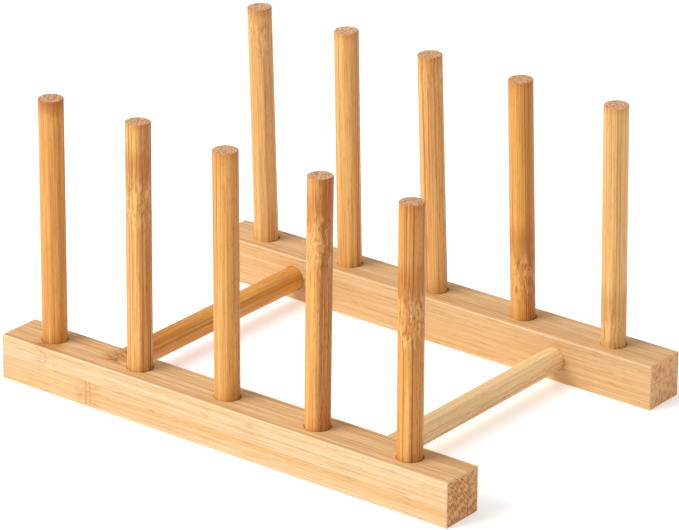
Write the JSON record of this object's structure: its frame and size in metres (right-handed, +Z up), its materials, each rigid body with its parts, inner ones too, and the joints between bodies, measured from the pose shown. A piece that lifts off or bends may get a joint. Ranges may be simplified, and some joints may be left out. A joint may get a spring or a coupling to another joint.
{
  "type": "dish drying rack",
  "caption": "Low bamboo plate rack: two square rails joined by two round rungs, with a row of upright pegs standing in each rail.",
  "frame": {"origin": "on the table, under the middle of the rack's outer box", "axes": "+X along the rails to the right end, where the margin past the last peg is wider; +Y from the front rail to the back rail; +Z up"},
  "size_m": [0.255, 0.18, 0.1409],
  "materials": {
    "rail_bamboo": "sanded laminated bamboo bar with a thin satin oil, speckled end grain",
    "peg_bamboo": "turned bamboo dowel, sanded, lengthwise streaks and speckled end grain",
    "rung_bamboo": "turned bamboo dowel, sanded, lengthwise streaks"
  },
  "bodies": {
    "root": {"front_rail": "rail_bamboo", "back_rail": "rail_bamboo", "front_peg_1": "peg_bamboo", "front_peg_2": "peg_bamboo", "front_peg_3": "peg_bamboo", "front_peg_4": "peg_bamboo", "front_peg_5": "peg_bamboo", "back_peg_1": "peg_bamboo", "back_peg_2": "peg_bamboo", "back_peg_3": "peg_bamboo", "back_peg_4": "peg_bamboo", "back_peg_5": "peg_bamboo", "left_rung": "rung_bamboo", "right_rung": "rung_bamboo"}
  },
  "joints": []
}
